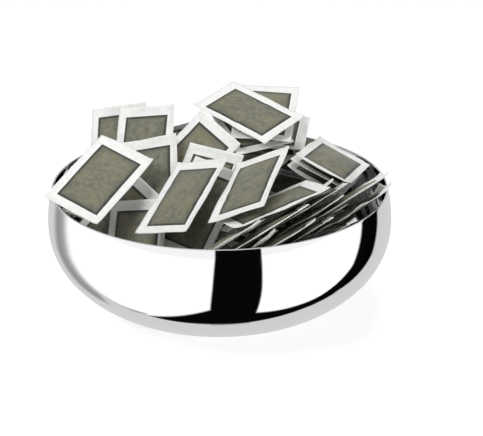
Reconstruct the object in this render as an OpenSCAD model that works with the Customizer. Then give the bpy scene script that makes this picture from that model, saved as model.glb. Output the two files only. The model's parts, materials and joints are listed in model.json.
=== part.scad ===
// Round bowl of polished steel, heaped with filled sugar packets that lie and lean on each other.
// The origin is the centre of the foot on the table, the front is -Y and the top is +Z.

/* [Bowl] */
// Widest radius of the bowl
belly_r = 115.2; // [110:0.1:125]
// Height of the widest line above the table
belly_z = 57; // [52:0.5:62]
// How far the rim stands inside the widest line
rim_in = 3.2; // [2:0.1:6]
// Height of the rim above the table
bowl_h = 82; // [78:0.5:90]
// Radius of the flat foot
foot_r = 49; // [40:0.5:56]
// Angle from straight down at which the foot curve meets the belly curve
foot_turn = 50; // [44:1:56]
// Thickness of the steel
wall = 1.2; // [0.8:0.1:1.6]

/* [Packet] */
// Length of a packet over its end seals
packet_l = 66; // [60:0.5:67]
// Width of a packet over its side seals
packet_w = 41; // [36:0.5:42]
// Thickness of a packet in its middle
packet_t = 5.4; // [4:0.1:5.6]
// Thickness of the pressed seals
seal_t = 0.4; // [0.2:0.05:0.6]
// Depth of each end seal
end_seal = 7; // [4:0.5:10]
// Width of each side seal
side_seal = 4; // [2:0.5:6]

/* [Heap] */
// Gap between two packets that lean on each other
lean_gap = 0.4; // [0.3:0.05:1]
// Gap between the lowest layer and the steel
layer_gap = 0.2; // [0.1:0.05:0.8]
// Gap between neighbours in a flat layer
side_gap = 1; // [0.6:0.1:3]

/* [Hidden] */

// Smoothness of the round surfaces
$fn = 180;

// Rim of the bowl
rim_r = belly_r - rim_in;

// Curve radii of the bowl, outside: the foot curve and the belly curve meet at foot_turn,
// and the belly curve and the shoulder curve meet upright at the widest line
flare = belly_r - foot_r;
turn_sum = sin(foot_turn) + cos(foot_turn) - 1;
foot_curve_r = (flare * cos(foot_turn) - belly_z * (1 - sin(foot_turn))) / turn_sum;
belly_curve_r = (belly_z * sin(foot_turn) - flare * (1 - cos(foot_turn))) / turn_sum;
shoulder_h = bowl_h - wall / 2 - belly_z;
shoulder_curve_r = (rim_in * rim_in + shoulder_h * shoulder_h) / (2 * rim_in);
shoulder_turn = asin(shoulder_h / shoulder_curve_r);

// Steps of each arc in the bowl's profile
arc_steps = 12;

// Filled part of a packet
fill_l = packet_l - 2 * end_seal;
fill_w = packet_w - 2 * side_seal;

// How steeply the filling falls off towards the seals
crown_power = 3;

// Grid lines of a packet's crown, as shares of half its filled width and length
fine_across_shares = [-1, -0.6, 0, 0.6, 1];
fine_along_shares = [-1, -0.6, 0, 0.6, 1];
plain_across_shares = [-1, 0, 1];
plain_along_shares = [-1, -0.6, 0, 0.6, 1];

// Step from one packet to the next in a leaning sheaf
lean_pitch = packet_t + lean_gap;

// Middle height of the lowest layer
layer_z = wall + layer_gap + packet_t / 2;

// Sheaves: where they start as shares of the rim radius and the height, the way they face
// and how far they lean back. Each packet's row holds its level in the sheaf,
// its shift across and up as shares of the packet's width and length, and its spin.
front_start_share = [-0.43, 0, 1];
front_face = -25;
front_lean = 50;
front_shares = [
    [-3.05, -1.02, 0.06, -8],
    [-2.95, 0.21, -0.08, 6],
    [-2.15, -0.88, 0.36, 16],
    [-2, 0.46, 0.33, -30],
    [-1.35, -0.34, 0.36, 12],
    [-1.3, 0.88, 0, -5],
    [-0.5, 0, 0, 18],
    [0.5, -0.29, -0.49, -30],
    [0.35, 1.05, -0.21, -12],
    [1.32, 0.22, -0.72, 12],
];

right_start_share = [0.43, -0.375, 1.04];
right_face = -121;
right_lean = 37;
right_shares = [
    [-5.1, 0.2, -0.03, 34],
    [-4.4, -0.59, 0.18, 40],
    [-4.4, 0.76, -0.47, 37],
    [-3.5, 0.54, -0.12, 37],
    [-3, -0.63, 0.21, 37],
    [-2.3, 0.1, -0.06, 35],
    [-1.32, 0, 0, 37],
    [-0.35, 0.12, -0.05, 33],
    [-2.6, 1.1, -0.05, 33],
    [-0.8, 1.1, -0.05, 38],
    [-1.7, 1.3, -0.4, 33],
];

crown_start_share = [0.25, 0.38, 1.26];
crown_face = 0;
crown_lean = 16;
crown_shares = [
    [0.1, 0, 0, 80],
    [1.1, -0.2, 0, 20],
    [2, 0.1, 0.08, -8],
    [2.95, -0.2, -0.03, 47],
];

side_start_share = [0.64, 0.15, 1];
side_face = 90;
side_lean = 25;
side_shares = [
    [0, 0, 0, 70],
    [1, 0, 0, 70],
    [2, -0.15, 0, 70],
];

back_start_share = [0.34, 0.59, 0.91];
back_face = 150;
back_lean = 36;
back_shares = [
    [0, 0, 0, -10],
    [1, 0.05, -0.02, 20],
];

left_back_start_share = [-0.33, 0.57, 0.935];
left_back_face = -147;
left_back_lean = 36;
left_back_shares = [
    [0, 0, 0, -10],
    [1, 0.05, 0.03, 20],
    [2, -0.05, 0, -12],
];

// The packet in front of the right sheaf and parallel to it
right_front_share = [0.2954, 1.49996, -0.39986, 33];

// Packets that rest on the rim or on a sheaf at an angle of their own. The row holds the place
// where a packet rests, as the rows above have it, then the way it faces, how far it leans back
// and its spin, and its resting point as shares of half its width and half its length.
rim_start_share = [-0.918, -0.37147, 1];
rim_rest_share = [0.0227, 0, 0, 10, 30, -40, -0.42, -1];
front_rest_shares = [
    [0.4698, 0.69703, 0.26725, -60, 30, 30, -0.45, 1],
    [0.2416, 1.48502, 0.30351, -80, 30, 60, -0.9, 0.9],
];
right_rest_share = [-0.2228, 0.20183, 0.44956, -110, 20, 40, 0.45, 1];

// Flat layers: how high each one lies above the lowest, as a share of the packet's thickness,
// the turn of its packets about the middle of the bowl, and the radius of its ring
pair_turn = 20;
four_turns = [110, 113];
four_rise_shares = [0.74, 1.8];
low_middle_rise_share = 2.39;
low_ring_rise_share = 2.45;
low_ring_r_share = 0.554;
low_ring_turns = [60, 150, 235, 330];
mid_middle_rise_share = 3.44;
mid_ring_rise_share = 3.3;
mid_ring_r_share = 0.616;
mid_ring_turns = [54, 144, 230, 324];
high_ring_rise_share = 4.25;
high_ring_r_share = 0.656;
high_ring_turns = [48, 125, 325];
rear_ring_rise_shares = [5.19, 6.22, 7.26, 8.3, 9.33];
rear_ring_r_share = 0.7;
rear_turns = [50, 52, 47, 53, 50];
rear_ring_step = 60;

// Rows behind the front sheaf: rise as above, and shift across and back as shares
// of the packet's length and width
row_turn = front_face;
row_shares = [
    [4.25, -0.32, -0.39],
    [5.19, -0.6, -0.29],
    [6.15, -0.45, -0.17],
    [7.13, -0.56, -0.07],
    [8.06, -0.35, 0.05],
    [9.07, -0.3, 0.12],
];
core_shares = [
    [9.98, -0.45, 0.27],
    [10.94, -0.51, 0.39],
    [11.91, -0.39, 0.49],
    [12.91, -0.33, 0.56],
    [13.74, -0.1, 0.73],
    [14.7, -0.06, 0.8],
    [15.67, 0, 0.715],
];

// Half thickness of a packet, x across and y along it from its middle
function half_t(x, y) =
    let (u = min(abs(x) / (fill_w / 2), 1))
    let (v = min(abs(y) / (fill_l / 2), 1))
    seal_t / 2 + (packet_t - seal_t) / 2 * (1 - pow(u, crown_power)) * (1 - pow(v, crown_power));

// Two triangles over four corners, split from b to d or from a to c
function two_faces(a, b, c, d, cross) = cross ? [[a, d, b], [b, d, c]] : [[a, d, c], [a, c, b]];

// A packet lying flat, its middle on the origin: pressed seals round a pillow of sugar
module packet(across_shares, along_shares) {
    xs = concat([-packet_w / 2], across_shares * fill_w / 2, [packet_w / 2]);
    ys = concat([-packet_l / 2], along_shares * fill_l / 2, [packet_l / 2]);
    nx = len(xs);
    ny = len(ys);
    count = nx * ny;
    top = [for (y = ys) for (x = xs) [x, y, half_t(x, y)]];
    low = [for (p = top) [p[0], p[1], -p[2]]];
    top_faces = [
        for (j = [0 : ny - 2]) for (i = [0 : nx - 2])
            let (a = j * nx + i)
            let (cross = (xs[i] + xs[i + 1]) * (ys[j] + ys[j + 1]) > 0)
            each two_faces(a, a + 1, a + nx + 1, a + nx, cross)
    ];
    low_faces = [for (f = top_faces) [f[0] + count, f[2] + count, f[1] + count]];
    rim = concat(
        [for (i = [0 : nx - 1]) i],
        [for (j = [1 : ny - 1]) j * nx + nx - 1],
        [for (i = [nx - 2 : -1 : 0]) (ny - 1) * nx + i],
        [for (j = [ny - 2 : -1 : 1]) j * nx]
    );
    edge_faces = [
        for (k = [0 : len(rim) - 1])
            let (a = rim[k])
            let (b = rim[(k + 1) % len(rim)])
            each [[a, b, b + count], [a, b + count, a + count]]
    ];
    polyhedron(concat(top, low), concat(top_faces, low_faces, edge_faces));
}

// A packet of a flat layer
module layer_packet(rise_share) {
    translate([0, 0, layer_z + rise_share * packet_t])
        packet(plain_across_shares, plain_along_shares);
}

// Packets round a ring, each with its length along the ring
module ring_packets(rise_share, radius_share, turns) {
    for (turn = turns)
        rotate([0, 0, turn])
            translate([radius_share * rim_r, 0, 0])
                layer_packet(rise_share);
}

// A packet of a row behind the front sheaf, its length along the row
module row_packet(place_share) {
    rotate([0, 0, row_turn])
        translate([place_share[1] * packet_l, place_share[2] * packet_w, 0])
            rotate([0, 0, 90])
                layer_packet(place_share[0]);
}

// Packets two by two
module four_packets(i) {
    rotate([0, 0, four_turns[i]])
        for (across = [-1, 1], along = [-1, 1])
            translate([across * (packet_w + side_gap) / 2, along * (packet_l + side_gap) / 2, 0])
                layer_packet(four_rise_shares[i]);
}

// A packet of a leaning sheaf
module sheaf_packet(start_share, face, lean, place_share) {
    translate([start_share[0] * rim_r, start_share[1] * rim_r, start_share[2] * bowl_h])
        rotate([0, 0, face])
            rotate([lean, 0, 0])
                translate([place_share[1] * packet_w, place_share[2] * packet_l, place_share[0] * lean_pitch])
                    rotate([0, 0, place_share[3]])
                        packet(fine_across_shares, fine_along_shares);
}

// A packet that rests at its own angle, turned about the point that it rests on
module resting_packet(start_share, face, lean, place_share) {
    color("whitesmoke")
        translate([start_share[0] * rim_r, start_share[1] * rim_r, start_share[2] * bowl_h])
            rotate([0, 0, face])
                rotate([lean, 0, 0])
                    translate([place_share[1] * packet_w, place_share[2] * packet_l, place_share[0] * lean_pitch])
                        rotate([-lean, 0, 0])
                            rotate([0, 0, -face])
                                rotate([0, 0, place_share[3]])
                                    rotate([place_share[4], 0, 0])
                                        rotate([0, 0, place_share[5]])
                                            translate([-place_share[6] * packet_w / 2, -place_share[7] * packet_l / 2, 0])
                                                packet(fine_across_shares, fine_along_shares);
}

// Points of an arc about a centre, from one angle to another
function arc(centre, r, from, to) =
    [for (k = [0 : arc_steps])
        let (angle = from + (to - from) * k / arc_steps)
        centre + r * [cos(angle), sin(angle)]];

// Profile of the bowl's outside, or of its inside when drawn in by the wall, from the foot to the rim
function bowl_line(inset) = concat(
    arc([foot_r, foot_curve_r], foot_curve_r - inset, -90, foot_turn - 90),
    arc([belly_r - belly_curve_r, belly_z], belly_curve_r - inset, foot_turn - 90, 0),
    arc([belly_r - shoulder_curve_r, belly_z], shoulder_curve_r - inset, 0, shoulder_turn)
);

// The bowl: one spun shell with a flat foot and a rounded rim
module bowl() {
    shoulder = [belly_r - shoulder_curve_r, belly_z];
    lip = shoulder + (shoulder_curve_r - wall / 2) * [cos(shoulder_turn), sin(shoulder_turn)];
    inside = bowl_line(wall);
    color("silver")
        rotate_extrude()
            polygon(concat(
                [[0, 0]],
                bowl_line(0),
                arc(lip, wall / 2, shoulder_turn, shoulder_turn + 180),
                [for (k = [len(inside) - 1 : -1 : 0]) inside[k]],
                [[0, wall]]
            ));
}

// The lowest layer, two packets side by side
module floor_packets_1() {
    color("whitesmoke")
        rotate([0, 0, pair_turn])
            for (side = [-1, 1])
                translate([side * (packet_w + side_gap) / 2, 0, 0])
                    layer_packet(0);
}

// The second layer
module floor_packets_2() {
    color("whitesmoke")
        four_packets(0);
}

// The third layer
module floor_packets_3() {
    color("whitesmoke")
        four_packets(1);
}

// The fourth layer, one packet in the middle and a ring round it
module floor_packets_4() {
    color("whitesmoke") {
        rotate([0, 0, pair_turn])
            layer_packet(low_middle_rise_share);
        ring_packets(low_ring_rise_share, low_ring_r_share, low_ring_turns);
    }
}

// The fifth layer, one packet in the middle and a wider ring
module floor_packets_5() {
    color("whitesmoke") {
        rotate([0, 0, pair_turn])
            layer_packet(mid_middle_rise_share);
        ring_packets(mid_ring_rise_share, mid_ring_r_share, mid_ring_turns);
    }
}

// The sixth layer, where the first row behind the front sheaf lies inside a ring
module floor_packets_6() {
    color("whitesmoke") {
        row_packet(row_shares[0]);
        ring_packets(high_ring_rise_share, high_ring_r_share, high_ring_turns);
    }
}

// A layer of the stepped stack at the back, with its part of the row
module rear_packets(i) {
    color("whitesmoke") {
        row_packet(row_shares[1 + i]);
        ring_packets(rear_ring_rise_shares[i], rear_ring_r_share, [rear_turns[i], rear_turns[i] + rear_ring_step]);
    }
}

// A packet of the stack that carries the crown
module core_packet(i) {
    color("whitesmoke")
        row_packet(core_shares[i]);
}

module front_packet(i) {
    color("whitesmoke")
        sheaf_packet(front_start_share, front_face, front_lean, front_shares[i]);
}

module rim_resting_packet() {
    resting_packet(rim_start_share, 0, 0, rim_rest_share);
}

module front_resting_packet(i) {
    resting_packet(front_start_share, front_face, front_lean, front_rest_shares[i]);
}

module right_resting_packet() {
    resting_packet(right_start_share, right_face, right_lean, right_rest_share);
}

module right_front_packet() {
    color("whitesmoke")
        sheaf_packet(right_start_share, right_face, right_lean, right_front_share);
}

module right_packet(i) {
    color("whitesmoke")
        sheaf_packet(right_start_share, right_face, right_lean, right_shares[i]);
}

module crown_packet(i) {
    color("whitesmoke")
        sheaf_packet(crown_start_share, crown_face, crown_lean, crown_shares[i]);
}

module side_packet(i) {
    color("whitesmoke")
        sheaf_packet(side_start_share, side_face, side_lean, side_shares[i]);
}

module back_packet(i) {
    color("whitesmoke")
        sheaf_packet(back_start_share, back_face, back_lean, back_shares[i]);
}

module left_back_packet(i) {
    color("whitesmoke")
        sheaf_packet(left_back_start_share, left_back_face, left_back_lean, left_back_shares[i]);
}

bowl();
floor_packets_1();
floor_packets_2();
floor_packets_3();
floor_packets_4();
floor_packets_5();
floor_packets_6();
rear_packets(0);  // rear_packets_1
rear_packets(1);  // rear_packets_2
rear_packets(2);  // rear_packets_3
rear_packets(3);  // rear_packets_4
rear_packets(4);  // rear_packets_5
core_packet(0);  // core_packet_1
core_packet(1);  // core_packet_2
core_packet(2);  // core_packet_3
core_packet(3);  // core_packet_4
core_packet(4);  // core_packet_5
core_packet(5);  // core_packet_6
core_packet(6);  // core_packet_7
front_packet(0);  // front_packet_1
front_packet(1);  // front_packet_2
front_packet(2);  // front_packet_3
front_packet(3);  // front_packet_4
front_packet(4);  // front_packet_5
front_packet(5);  // front_packet_6
front_packet(6);  // front_packet_7
rim_resting_packet();  // front_packet_8
front_packet(7);  // front_packet_9
front_packet(8);  // front_packet_10
front_packet(9);  // front_packet_11
right_front_packet();  // front_packet_12
front_resting_packet(0);  // front_packet_13
right_packet(0);  // right_packet_1
right_packet(1);  // right_packet_2
right_packet(2);  // right_packet_3
right_packet(3);  // right_packet_4
right_packet(4);  // right_packet_5
right_packet(5);  // right_packet_6
right_packet(6);  // right_packet_7
right_packet(7);  // right_packet_8
right_packet(8);  // right_packet_9
right_packet(9);  // right_packet_10
right_packet(10);  // right_packet_11
right_resting_packet();  // fan_packet_1
front_resting_packet(1);  // fan_packet_2
crown_packet(0);  // crown_packet_1
crown_packet(1);  // crown_packet_2
crown_packet(2);  // crown_packet_3
crown_packet(3);  // crown_packet_4
side_packet(0);  // side_packet_1
side_packet(1);  // side_packet_2
side_packet(2);  // side_packet_3
back_packet(0);  // back_packet_1
back_packet(1);  // back_packet_2
left_back_packet(0);  // left_back_packet_1
left_back_packet(1);  // left_back_packet_2
left_back_packet(2);  // left_back_packet_3
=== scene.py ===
import bpy
import json
import math
import random
import numpy as np
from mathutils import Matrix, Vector
from mathutils.bvhtree import BVHTree

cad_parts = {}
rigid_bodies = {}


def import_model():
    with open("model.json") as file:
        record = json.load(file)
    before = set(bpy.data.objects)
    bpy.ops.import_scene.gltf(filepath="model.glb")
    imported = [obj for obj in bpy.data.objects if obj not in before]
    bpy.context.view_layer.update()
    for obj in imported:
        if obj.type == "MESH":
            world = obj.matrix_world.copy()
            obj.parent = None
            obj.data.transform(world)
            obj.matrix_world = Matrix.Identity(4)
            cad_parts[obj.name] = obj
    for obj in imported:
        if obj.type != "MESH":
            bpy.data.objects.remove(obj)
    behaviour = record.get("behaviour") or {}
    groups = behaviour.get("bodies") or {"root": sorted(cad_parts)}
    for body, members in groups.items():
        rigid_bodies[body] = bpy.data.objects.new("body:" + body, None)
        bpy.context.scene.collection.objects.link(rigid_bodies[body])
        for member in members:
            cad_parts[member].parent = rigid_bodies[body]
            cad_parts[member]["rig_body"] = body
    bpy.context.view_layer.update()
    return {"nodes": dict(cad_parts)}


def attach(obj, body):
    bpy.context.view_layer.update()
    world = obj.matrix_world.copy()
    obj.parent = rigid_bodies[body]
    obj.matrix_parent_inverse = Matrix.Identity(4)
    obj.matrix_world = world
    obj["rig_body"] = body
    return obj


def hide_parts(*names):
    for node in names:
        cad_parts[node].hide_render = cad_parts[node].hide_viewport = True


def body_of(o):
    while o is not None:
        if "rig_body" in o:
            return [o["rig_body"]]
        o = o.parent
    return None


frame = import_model()
MM = 0.001

# Sizes of the object, as the CAD has them, in metres
BELLY_R, BELLY_Z, RIM_IN, BOWL_H = 115.2 * MM, 57 * MM, 3.2 * MM, 82 * MM
FOOT_R, FOOT_TURN, WALL = 49 * MM, math.radians(50), 1.2 * MM
PACKET_L, PACKET_W, PACKET_T, SEAL_T = 66 * MM, 41 * MM, 5.4 * MM, 0.4 * MM
END_SEAL, SIDE_SEAL = 7 * MM, 4 * MM
# The sachets' texture map shows a square of this size, with the sachet in its middle
MAP_SIZE = 100 * MM
# Bearings in degrees run from -Y to +X
DEGREES = 180 / math.pi
# How much of the light the dark flags and the painted shadow on the floor take away, and how much a
# grey surface of the studio takes away
FLAG_DARK, STUDIO_GREY = 0.998, 0.4


# Small helpers for materials

class Nodes:
    """A node tree with short calls."""

    def __init__(self, name, world=False):
        if world:
            self.owner = bpy.data.worlds.new(name)
            bpy.context.scene.world = self.owner
        else:
            self.owner = bpy.data.materials.new(name)
        self.owner.use_nodes = True
        self.tree = self.owner.node_tree
        self.tree.nodes.clear()

    def node(self, kind, inputs=None, **settings):
        """A node; each input is a value or the socket that it is linked to."""
        made = self.tree.nodes.new(kind)
        for key, value in settings.items():
            setattr(made, key, value)
        for key, value in (inputs or {}).items():
            if isinstance(value, bpy.types.NodeSocket):
                self.tree.links.new(value, made.inputs[key])
            else:
                made.inputs[key].default_value = value
        return made

    def math(self, operation, *values):
        made = self.node("ShaderNodeMath", dict(enumerate(values)), operation=operation)
        return made.outputs[0]

    def ramp(self, value, low, high, out_low=0.0, out_high=1.0):
        """A soft step of a value; it falls where high is under low."""
        made = self.node("ShaderNodeMapRange", interpolation_type="SMOOTHSTEP",
                         inputs={0: value, 1: low, 2: high, 3: out_low, 4: out_high})
        return made.outputs[0]

    def times(self, *values):
        product = values[0]
        for value in values[1:]:
            product = self.math("MULTIPLY", product, value)
        return product

    def less(self, share):
        """What is left when a share is taken away."""
        return self.math("SUBTRACT", 1.0, share)

    def most(self, *values):
        result = values[0]
        for value in values[1:]:
            result = self.math("MAXIMUM", result, value)
        return result

    def noise(self, vector, scale, detail):
        made = self.node("ShaderNodeTexNoise", inputs={
            "Vector": vector, "Scale": scale, "Detail": detail})
        return made.outputs[0]

    def mix_shader(self, share, a, b):
        made = self.node("ShaderNodeMixShader", inputs={0: share, 1: a, 2: b})
        return made.outputs[0]

    def mix(self, share, a, b):
        made = self.node("ShaderNodeMix", data_type="RGBA", inputs={0: share, 6: a, 7: b})
        return made.outputs[2]


def rgb(r, g, b):
    """A colour written as it shows on a screen, 0 to 255, as linear values."""
    def linear(c):
        c /= 255
        return c / 12.92 if c <= 0.04045 else ((c + 0.055) / 1.055) ** 2.4
    return (linear(r), linear(g), linear(b), 1)


# Materials

def steel_material():
    n = Nodes("polished_steel")
    place = n.node("ShaderNodeTexCoord").outputs["Object"]
    axes = n.node("ShaderNodeSeparateXYZ", inputs={0: place})
    # Very faint rings left by spinning and polishing
    rings_per_metre = 900.0
    rings = n.node("ShaderNodeTexNoise", noise_dimensions="1D", inputs={
        "W": n.times(axes.outputs[2], rings_per_metre), "Scale": 1.0, "Detail": 3.0}).outputs[0]
    smudge = n.noise(place, 26.0, 4.0)
    rough = n.math("ADD", n.ramp(smudge, 0.5, 0.75, 0.018, 0.05), n.times(rings, 0.012))
    bump = n.node("ShaderNodeBump", inputs={
        "Strength": 0.012, "Distance": 0.0004, "Height": rings})
    shader = n.node("ShaderNodeBsdfPrincipled", inputs={
        "Base Color": (0.9, 0.905, 0.915, 1), "Metallic": 1.0,
        "Roughness": rough, "Normal": bump.outputs[0]})
    n.node("ShaderNodeOutputMaterial", inputs={0: shader.outputs[0]})
    return n.owner


def paper_material():
    n = Nodes("sachet_paper")
    uv = n.node("ShaderNodeUVMap", uv_map="sachet").outputs[0]
    axes = n.node("ShaderNodeSeparateXYZ", inputs={0: uv})
    tone = n.node("ShaderNodeAttribute", attribute_name="tone").outputs["Fac"]
    # Places on the sachet, in millimetres from its middle; the tone sets the sachets apart
    map_mm, tones_apart = MAP_SIZE / MM, 90.0
    across = n.times(n.math("SUBTRACT", axes.outputs[0], 0.5), map_mm)
    along = n.times(n.math("SUBTRACT", axes.outputs[1], 0.5), map_mm)
    x, y = n.math("ABSOLUTE", across), n.math("ABSOLUTE", along)
    place = n.node("ShaderNodeCombineXYZ", inputs={
        0: across, 1: along, 2: n.times(tone, tones_apart)}).outputs[0]
    # Printed panel; reach is how far a place lies outside it, and edge is how soft it ends
    panel_x, panel_y, edge = 15.4, 25.9, 0.12
    reach = n.most(n.math("SUBTRACT", x, panel_x), n.math("SUBTRACT", y, panel_y))
    inside = n.ramp(reach, edge, -edge)
    ink = n.noise(place, 0.3, 6.0)
    cloud = n.noise(place, 0.07, 2.0)
    # A darker line runs round it, uneven, and painted shade darkens the print towards it, where the
    # pillow slopes down to the seals
    uneven = n.math("ADD", reach, n.times(n.math("SUBTRACT", ink, 0.5), 2.6))
    line = n.times(inside, n.ramp(uneven, -2.4, -1.0))
    painted_shade = n.times(inside, n.ramp(uneven, -6.5, -1.0))
    panel = n.mix(n.ramp(ink, 0.32, 0.68), rgb(107, 109, 97), rgb(132, 131, 113))
    panel = n.mix(n.ramp(cloud, 0.42, 0.66, 0.0, 0.5), panel, rgb(140, 135, 109))
    # Painted shade: the panel darker towards its edge
    panel = n.mix(n.times(painted_shade, 0.35), panel, rgb(84, 88, 82))
    panel = n.mix(n.times(line, 0.85), panel, rgb(52, 54, 52))
    white = n.mix(n.ramp(ink, 0.35, 0.8), rgb(250, 250, 248), rgb(238, 239, 235))
    colour = n.mix(inside, white, panel)
    # Crimped seals: fine ridges across the ends and along the sides, in radians a millimetre
    end_ridges, side_ridges = 5.6, 6.3
    end = n.ramp(y, 26.2, 27.0)
    side = n.times(n.ramp(x, 16.9, 17.5), n.less(end))
    end_wave = n.math("SINE", n.times(y, end_ridges))
    side_wave = n.math("SINE", n.times(x, side_ridges))
    crimp = n.math("ADD", n.times(end, end_wave), n.times(side, side_wave))
    # Paper grain and creases
    grain = n.noise(place, 1.6, 6.0)
    crease = n.node("ShaderNodeTexVoronoi", feature="DISTANCE_TO_EDGE", inputs={
        "Vector": place, "Scale": 0.11, "Randomness": 1.0}).outputs["Distance"]
    fold = n.ramp(crease, 0.0, 0.12)
    height = n.math("ADD", n.times(crimp, 0.10),
                    n.math("ADD", n.times(grain, 0.05), n.times(fold, 0.14)))
    bump = n.node("ShaderNodeBump", inputs={
        "Strength": 0.6, "Distance": 0.0008, "Height": height})
    # The ink is a little glossier than the bare paper
    rough = n.math("ADD", n.times(inside, -0.08), n.ramp(grain, 0.3, 0.7, 0.44, 0.56))
    shader = n.node("ShaderNodeBsdfPrincipled", inputs={
        "Base Color": colour, "Roughness": rough, "Normal": bump.outputs[0],
        "Specular IOR Level": 0.45})
    n.node("ShaderNodeOutputMaterial", inputs={0: shader.outputs[0]})
    return n.owner


STEEL = steel_material()
PAPER = paper_material()


# The bowl

def arc(centre, r, start, end, steps):
    return [(centre[0] + r * math.cos(start + (end - start) * k / steps),
             centre[1] + r * math.sin(start + (end - start) * k / steps)) for k in range(steps + 1)]


def bowl_profile(steps):
    """Outline of the wall, from the middle of the foot up the outside and down the inside."""
    flare = BELLY_R - FOOT_R
    total = math.sin(FOOT_TURN) + math.cos(FOOT_TURN) - 1
    foot = (flare * math.cos(FOOT_TURN) - BELLY_Z * (1 - math.sin(FOOT_TURN))) / total
    belly = (BELLY_Z * math.sin(FOOT_TURN) - flare * (1 - math.cos(FOOT_TURN))) / total
    rise = BOWL_H - WALL / 2 - BELLY_Z
    shoulder = (RIM_IN * RIM_IN + rise * rise) / (2 * RIM_IN)
    turn = math.asin(rise / shoulder)
    quarter = math.pi / 2

    def line(inset):
        first = arc((FOOT_R, foot), foot - inset, -quarter, FOOT_TURN - quarter, steps)
        second = arc((BELLY_R - belly, BELLY_Z), belly - inset, FOOT_TURN - quarter, 0, steps)
        third = arc((BELLY_R - shoulder, BELLY_Z), shoulder - inset, 0, turn, steps)
        return first + second[1:] + third[1:]

    middle = shoulder - WALL / 2
    lip = (BELLY_R - shoulder + middle * math.cos(turn), BELLY_Z + middle * math.sin(turn))
    foot_rings, bead_steps = 8, 10
    flat = [(FOOT_R * k / foot_rings, 0.0) for k in range(foot_rings)]
    inner_flat = [(r, WALL) for r, _ in reversed(flat)]
    bead = arc(lip, WALL / 2, turn, turn + math.pi, bead_steps)
    return flat + line(0) + bead[1:] + line(WALL)[::-1][1:] + inner_flat


def lathe(name, profile, segments, material):
    """A body of revolution; points of the profile on the axis become one vertex."""
    turns = [2 * math.pi * k / segments for k in range(segments)]
    verts, faces, rows = [], [], []
    for r, z in profile:
        first = len(verts)
        if r == 0:
            verts.append((0, 0, z))
        else:
            verts += [(r * math.cos(turn), r * math.sin(turn), z) for turn in turns]
        rows.append(range(first, len(verts)))
    for a, b in zip(rows, rows[1:]):
        for k in range(segments):
            j = (k + 1) % segments
            if len(a) == 1:
                faces.append((a[0], b[j], b[k]))
            elif len(b) == 1:
                faces.append((a[k], a[j], b[0]))
            else:
                faces.append((a[k], a[j], b[j], b[k]))
    mesh = bpy.data.meshes.new(name)
    mesh.from_pydata(verts, [], faces)
    mesh.materials.append(material)
    return smooth_object(name, mesh)


def smooth_object(name, mesh):
    for face in mesh.polygons:
        face.use_smooth = True
    made = bpy.data.objects.new(name, mesh)
    bpy.context.scene.collection.objects.link(made)
    return made


bowl = lathe("steel_bowl", bowl_profile(steps=40), 256, STEEL)
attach(bowl, body_of(frame["nodes"]["bowl"])[0])
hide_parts("bowl")


# The sachets: each is made where its CAD solid lies

def separate_solids(mesh):
    """The corner points of each separate solid of a CAD mesh."""
    micrometre = 6
    keys, ids = {}, []
    for v in mesh.vertices:
        key = tuple(np.round(np.array(v.co, float), micrometre))
        ids.append(keys.setdefault(key, len(keys)))
    points = np.array(list(keys), float)
    group = list(range(len(points)))

    def root(a):
        while group[a] != a:
            group[a] = group[group[a]]
            a = group[a]
        return a

    for face in mesh.polygons:
        corners = [ids[v] for v in face.vertices]
        for other in corners[1:]:
            group[root(corners[0])] = root(other)
    parts = {}
    for i in range(len(points)):
        parts.setdefault(root(i), []).append(i)
    found = [points[part] for part in parts.values()]
    # Sorted by their middles, to a hundredth of a millimetre
    return sorted(found, key=lambda part: tuple(np.round(part.mean(0), 5)))


def pose_of(points):
    """Middle and axes of a sachet: across, along and through it, the last two upwards."""
    level = 1e-4
    middle = points.mean(0)
    axes = np.linalg.eigh(np.cov((points - middle).T))[1]
    through, along = axes[:, 0], axes[:, 2]
    if through[2] < 0:
        through = -through
    if along[2] < 0 or (abs(along[2]) < level and along[0] < 0):
        along = -along
    across = np.cross(along, through)
    return middle, np.stack([across, along, through], 1)


def smooth_noise(rng, x, y, waves, shortest, longest):
    """Mean of a few seeded waves, -1 to 1; their lengths are shares of the sachet's width."""
    total = np.zeros_like(x)
    for _ in range(waves):
        angle, length = rng.uniform(0, math.pi), rng.uniform(shortest, longest) * PACKET_W
        phase = rng.uniform(0, 2 * math.pi)
        run = x * math.cos(angle) + y * math.sin(angle)
        total += np.sin(run * 2 * math.pi / length + phase)
    return total / waves


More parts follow.
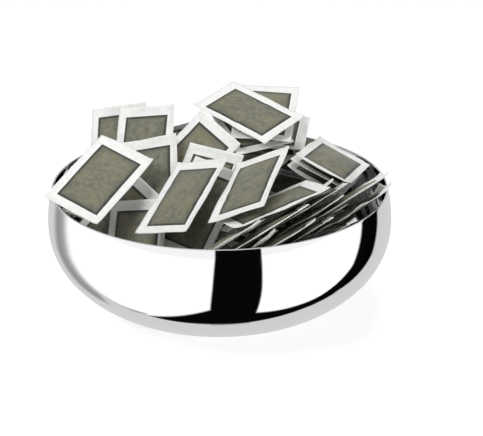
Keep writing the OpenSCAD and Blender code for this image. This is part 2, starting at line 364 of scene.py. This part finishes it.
def sachet(seed, nx, ny, curl, lump, plump):
    """Vertices, faces and map of one sachet lying flat about the origin.

    curl is how high its seals may bend up, lump how deep its lumps are as a share of the
    pillow, and plump the pillow's share of the CAD's thickness.
    """
    rng = random.Random(seed)
    half_w, half_l = PACKET_W / 2, PACKET_L / 2
    fill_w, fill_l = half_w - SIDE_SEAL, half_l - END_SEAL
    u, v = np.linspace(-1, 1, nx), np.linspace(-1, 1, ny)
    x, y = np.meshgrid(half_w * u, half_l * v)
    sx, sy = np.clip(np.abs(x) / fill_w, 0, 1), np.clip(np.abs(y) / fill_l, 0, 1)
    # The pillow of sugar, with lumps that are calmer on its crown
    lump_calm, underside = 0.4, 0.96
    crown = (1 - sx ** 3) * (1 - sy ** 3)
    lumps = smooth_noise(rng, x, y, 7, 0.25, 0.9)
    pillow = (PACKET_T - SEAL_T) / 2 * plump * crown
    body = pillow * (1 + lump * lumps * (1 - crown * lump_calm))
    # Short wrinkles that run in from the seals, deepest halfway up the pillow's slope
    wrinkles, share_from_sides = 12, 0.6
    slope = crown * (1 - crown) * 4
    wrinkle = np.zeros_like(x)
    for _ in range(wrinkles):
        from_side = rng.random() < share_from_sides
        at, width = rng.uniform(-0.9, 0.9), rng.uniform(0.05, 0.11)
        depth = rng.uniform(0.15, 0.4) * MM
        line = (y / half_l - at - 0.1 * sx) if from_side else (x / half_w - at - 0.15 * sy)
        wrinkle -= depth * np.exp(-(line / width) ** 2) * slope
    seal_share = 0.8
    seal = SEAL_T / 2 * seal_share
    top = seal + np.maximum(body + wrinkle, 0)
    low = seal + np.maximum(body * underside + wrinkle[::-1, ::-1], 0)
    # The whole sachet is a little warped, most at its seals
    warp_depth, warp_calm = 0.10 * MM, 0.6
    warp = warp_depth * smooth_noise(rng, x, y, 4, 1.2, 3.2) * (1 - warp_calm * crown)
    # The seals curl and flutter, mostly up and away from what the sachet lies on
    out_w = np.clip((np.abs(x) - fill_w) / SIDE_SEAL, 0, 1)
    out_l = np.clip((np.abs(y) - fill_l) / END_SEAL, 0, 1)
    flutter = 0.55 + 1.5 * smooth_noise(rng, x, y, 5, 0.5, 1.6)
    warp += curl * (out_w ** 1.5 + out_l ** 1.5) * np.clip(flutter, -0.25, 1.1)
    count = nx * ny
    verts = np.concatenate([np.stack([x, y, warp + top], 2).reshape(-1, 3),
                            np.stack([x, y, warp - low], 2).reshape(-1, 3)])
    # The upper side's vertices come first, and the lower side's follow after count
    faces = []
    for j in range(ny - 1):
        for i in range(nx - 1):
            a, b = j * nx + i, (j + 1) * nx + i
            faces.append((a, a + 1, b + 1, b))
            faces.append((count + a, count + b, count + b + 1, count + a + 1))
    # A strip round the edge joins the two sides
    rim = (list(range(nx)) + [j * nx + nx - 1 for j in range(1, ny)]
           + [(ny - 1) * nx + i for i in range(nx - 2, -1, -1)]
           + [j * nx for j in range(ny - 2, 0, -1)])
    for a, b in zip(rim, rim[1:] + rim[:1]):
        faces.append((a, count + a, count + b, b))
    uv = np.stack([x / MAP_SIZE + 0.5, y / MAP_SIZE + 0.5], 2).reshape(-1, 2)
    return verts, faces, np.tile(uv, (2, 1))


# Forms to try, from the most curled to the plainest: the share of the curl, the depth of
# the lumps and the share of the pillow's thickness
PLUMP, LUMP = 0.93, 0.2
FORMS = ([(share, LUMP, PLUMP) for share in (1.0, 0.8, 0.6, 0.4, 0.2, 0.0)]
         + [(0.0, 0.1, PLUMP), (0.0, 0.0, PLUMP)]
         + [(0.0, 0.0, plump) for plump in (0.84, 0.75, 0.66)])
COARSE_GRID, FINE_GRID = (17, 27), (33, 51)


class Sachet:
    """One sachet of the heap, in the place of one solid of the CAD."""

    def __init__(self, node, seed, solids, k):
        self.node, self.seed = node, seed * 10 + k
        self.tone = random.Random(seed * 31 + k).random()
        self.middle, self.axes = pose_of(solids[k])
        hidden = len(solids) > 1 or node.startswith("core")
        self.grid = COARSE_GRID if hidden else FINE_GRID
        # The sheaf on the right has room for its seals to curl further
        free = node.startswith("right") and node != "right_packet_8"
        self.most_curl = (2.0 if free else 1.1) * MM
        self.shape(0.0, LUMP, PLUMP)

    def shape(self, share, lump, plump):
        curl = self.most_curl * share
        verts, self.faces, self.uv = sachet(self.seed, *self.grid, curl, lump, plump)
        self.verts = verts @ self.axes.T + self.middle
        self.low, self.high = self.verts.min(0), self.verts.max(0)
        self.tree = BVHTree.FromPolygons(self.verts.tolist(), self.faces)

    def near(self, other):
        reach = 4 * MM
        return (other is not self and (self.low < other.high + reach).all()
                and (self.high > other.low - reach).all())

    def settle(self, others, wall_tree):
        """Take the first form that touches neither the neighbours nor the bowl."""
        trees = [wall_tree] + [other.tree for other in others if self.near(other)]
        for form in FORMS:
            self.shape(*form)
            if not any(self.tree.overlap(tree) for tree in trees):
                break


def sachet_piece(node, members):
    """One piece for a CAD node, from the sachets that lie in the places of its solids."""
    faces, base = [], 0
    for one in members:
        faces += [tuple(base + i for i in face) for face in one.faces]
        base += len(one.verts)
    mesh = bpy.data.meshes.new("sachet_" + node)
    mesh.from_pydata(np.concatenate([one.verts for one in members]).tolist(), [], faces)
    uv = np.concatenate([one.uv for one in members])
    corner = np.zeros(len(mesh.loops), np.int32)
    mesh.loops.foreach_get("vertex_index", corner)
    layer = mesh.uv_layers.new(name="sachet")
    layer.data.foreach_set("uv", uv[corner].astype(np.float32).ravel())
    tones = np.concatenate([np.full(len(one.verts), one.tone) for one in members])
    tone = mesh.attributes.new("tone", "FLOAT", "POINT")
    tone.data.foreach_set("value", tones.astype(np.float32))
    mesh.materials.append(PAPER)
    made = smooth_object("sachet_" + node, mesh)
    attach(made, body_of(frame["nodes"][node])[0])
    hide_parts(node)


# All sachets are laid first, so that each can keep clear of the others
names = sorted(name for name in frame["nodes"] if name != "bowl")
heap = []
for number, name in enumerate(names, 1):
    solids = separate_solids(frame["nodes"][name].data)
    heap += [Sachet(name, number, solids, k) for k in range(len(solids))]
bowl_tree = BVHTree.FromPolygons([v.co for v in bowl.data.vertices],
                                 [tuple(face.vertices) for face in bowl.data.polygons])
for one in heap:
    one.settle(heap, bowl_tree)
for name in names:
    sachet_piece(name, [one for one in heap if one.node == name])


# Floor and surroundings

def floor_material():
    n = Nodes("pale_floor")
    place = n.node("ShaderNodeNewGeometry").outputs["Position"]
    axes = n.node("ShaderNodeSeparateXYZ", inputs={0: place})
    x, y = axes.outputs[0], axes.outputs[1]

    def wedge(at, start, end, soft):
        """1 inside the wedge that opens from a point between two bearings, and 0 outside."""
        dx, dy = n.math("SUBTRACT", x, at[0]), n.math("SUBTRACT", at[1], y)
        angle = n.times(n.math("ARCTAN2", dx, dy), DEGREES)
        return n.times(n.ramp(angle, start - soft, start + soft),
                       n.ramp(angle, end + soft, end - soft))

    def distance(at):
        dx, dy = n.math("SUBTRACT", x, at[0]), n.math("SUBTRACT", y, at[1])
        return n.math("SQRT", n.math("ADD", n.times(dx, dx), n.times(dy, dy)))

    def across(slope, low, high):
        """A soft step over a straight line on the floor."""
        return n.ramp(n.math("MULTIPLY_ADD", x, slope, y), low, high)

    # Dark flags stand between the white cards of the studio, as the steel shows them
    right_corner, left_corner = (0.0767, -0.1019), (-0.06, -0.097)
    front_flag = n.times(wedge((-0.0047, -0.034), -3.3, 120, 0.7),
                         wedge((-0.0096, -0.034), -120, 25.8, 0.7))
    side_flag = wedge(right_corner, 106.1, 128.7, 1.6)
    faint_flag = n.times(wedge(left_corner, -138, -121, 6), 0.62)
    # A strip of painted shadow, the bowl's shadow on the floor as the steel shows it, lies in front
    # of the foot, between an arc and two straight edges
    in_front = n.ramp(y, -0.060, -0.070)
    beyond = n.ramp(distance((0.0074, 0.0793)), 0.1805, 0.1851)
    painted_shadow = n.times(beyond, across(-0.412, -0.1382, -0.1338), across(0.92, -0.1500, -0.1440),
                    n.ramp(x, -0.092, -0.064), n.ramp(x, 0.118, 0.104), in_front)
    flags_and_painted_shadow = n.most(front_flag, side_flag, faint_flag, painted_shadow)
    # The floor under the belly and the room behind are grey
    near = n.times(n.less(beyond), in_front)
    under = n.most(n.ramp(distance((0, 0)), 0.107, 0.099), near)
    behind = n.most(wedge(right_corner, 118, 200, 6), wedge(left_corner, -200, -130, 8),
                    wedge((0, 0), 150, 200, 10), wedge((0, 0), -200, -150, 10))
    grey = n.times(n.most(under, behind), STUDIO_GREY)
    flags_and_painted_shadow = n.times(flags_and_painted_shadow, n.less(under))
    # The cards show white, less the grey, the dark flags and the painted shadow
    shown = n.times(n.less(grey), n.less(n.times(flags_and_painted_shadow, FLAG_DARK)))
    white = (1, 1, 1, 1)
    cards = n.node("ShaderNodeEmission", inputs={"Color": white, "Strength": n.times(shown, 1.12)})
    # Other light meets a pale floor, and the camera a white one that keeps the shadow
    pale = n.node("ShaderNodeBsdfDiffuse", inputs={"Color": (0.86, 0.86, 0.86, 1)})
    glow = n.node("ShaderNodeEmission", inputs={"Color": white, "Strength": 0.72})
    shadow = n.node("ShaderNodeBsdfDiffuse", inputs={"Color": (0.5, 0.5, 0.5, 1)})
    seen = n.node("ShaderNodeAddShader", inputs={0: glow.outputs[0], 1: shadow.outputs[0]})
    path = n.node("ShaderNodeLightPath").outputs
    lit = n.mix_shader(path["Is Glossy Ray"], pale.outputs[0], cards.outputs[0])
    final = n.mix_shader(path["Is Camera Ray"], lit, seen.outputs[0])
    n.node("ShaderNodeOutputMaterial", inputs={0: final})
    return n.owner


HALF_FLOOR, UNDER_FOOT = 6.0, 0.5 * MM
floor_mesh = bpy.data.meshes.new("floor")
floor_mesh.from_pydata([(-HALF_FLOOR, -HALF_FLOOR, 0), (HALF_FLOOR, -HALF_FLOOR, 0),
                        (HALF_FLOOR, HALF_FLOOR, 0), (-HALF_FLOOR, HALF_FLOOR, 0)],
                       [], [(0, 1, 2, 3)])
floor_mesh.materials.append(floor_material())
floor = bpy.data.objects.new("floor", floor_mesh)
floor.location.z = -UNDER_FOOT
bpy.context.scene.collection.objects.link(floor)


def world():
    n = Nodes("studio", world=True)
    direction = n.node("ShaderNodeTexCoord").outputs["Generated"]
    axes = n.node("ShaderNodeSeparateXYZ", inputs={0: direction})
    x, y, z = axes.outputs
    bearing = n.times(n.math("ARCTAN2", x, n.times(y, -1.0)), DEGREES)
    # The white cards fade upwards, and the room behind is grey
    fade = n.ramp(z, 0.0, 0.9, 1.0, 0.55)
    behind = n.ramp(n.math("ABSOLUTE", bearing), 112, 132)
    # The floor's flags go on a little above the horizon
    front_flag = n.times(n.ramp(bearing, -4.0, -2.6), n.ramp(bearing, 26.5, 25.1))
    side_flag = n.times(n.ramp(bearing, 104.5, 107.7), n.ramp(bearing, 130.3, 127.1))
    flag = n.times(n.most(front_flag, side_flag), n.ramp(z, 0.34, 0.24))
    shown = n.times(fade, n.less(n.times(behind, STUDIO_GREY)), n.less(n.times(flag, FLAG_DARK)))

    def light(strength):
        made = n.node("ShaderNodeBackground", inputs={
            "Color": (1, 1, 1, 1), "Strength": strength})
        return made.outputs[0]

    path = n.node("ShaderNodeLightPath").outputs
    lit = n.mix_shader(path["Is Glossy Ray"], light(0.3), light(shown))
    final = n.mix_shader(path["Is Camera Ray"], lit, light(1.0))
    n.node("ShaderNodeOutputWorld", inputs={0: final})


world()


HEAP_MIDDLE = Vector((0, 0, 0.1))


def lamp(name, place, energy, size):
    """A round soft lamp that looks at the heap and isn't mirrored in the steel."""
    data = bpy.data.lights.new(name, "AREA")
    data.energy, data.shape, data.size = energy, "DISK", size
    made = bpy.data.objects.new(name, data)
    made.location = place
    made.rotation_mode = "QUATERNION"
    made.rotation_quaternion = (HEAP_MIDDLE - Vector(place)).to_track_quat("-Z", "Y")
    made.visible_glossy = False
    bpy.context.scene.collection.objects.link(made)


lamp("key", (-0.75, -0.55, 0.95), 6.6, 0.5)
lamp("top", (0.15, 0.35, 1.2), 5.2, 0.6)
lamp("fill", (0.75, -1.0, 0.35), 5.0, 0.5)


# Camera at the photograph's angle; the picture's size, the place of the rim's middle in it
# and the width of one radian of view are in pixels

PICTURE_W, PICTURE_H = 483, 436
RIM_X, RIM_Y = 220, 181.7
VIEW = 1338
TILT, DISTANCE, SENSOR_MM = math.radians(21), 0.896, 36
camera_data = bpy.data.cameras.new("camera")
camera_data.sensor_width = SENSOR_MM
camera_data.lens = VIEW / PICTURE_W * SENSOR_MM
camera_data.clip_start, camera_data.clip_end = 0.01, 50
camera = bpy.data.objects.new("camera", camera_data)
bpy.context.scene.collection.objects.link(camera)
back = Vector((0, -math.cos(TILT), math.sin(TILT)))
camera.location = Vector((0, 0, BOWL_H)) + back * DISTANCE
# The camera turns until the rim's middle is at its place in the picture
aim_right = math.atan((PICTURE_W / 2 - RIM_X) / VIEW)
aim_down = math.atan((PICTURE_H / 2 - RIM_Y) / VIEW)
right = Vector((1, 0, 0))
up = right.cross(-back)
look = -back + right * math.tan(aim_right) - up * math.tan(aim_down)
camera.rotation_mode = "QUATERNION"
camera.rotation_quaternion = look.to_track_quat("-Z", "Y")
bpy.context.scene.camera = camera

bpy.context.scene.view_settings.view_transform = "Standard"
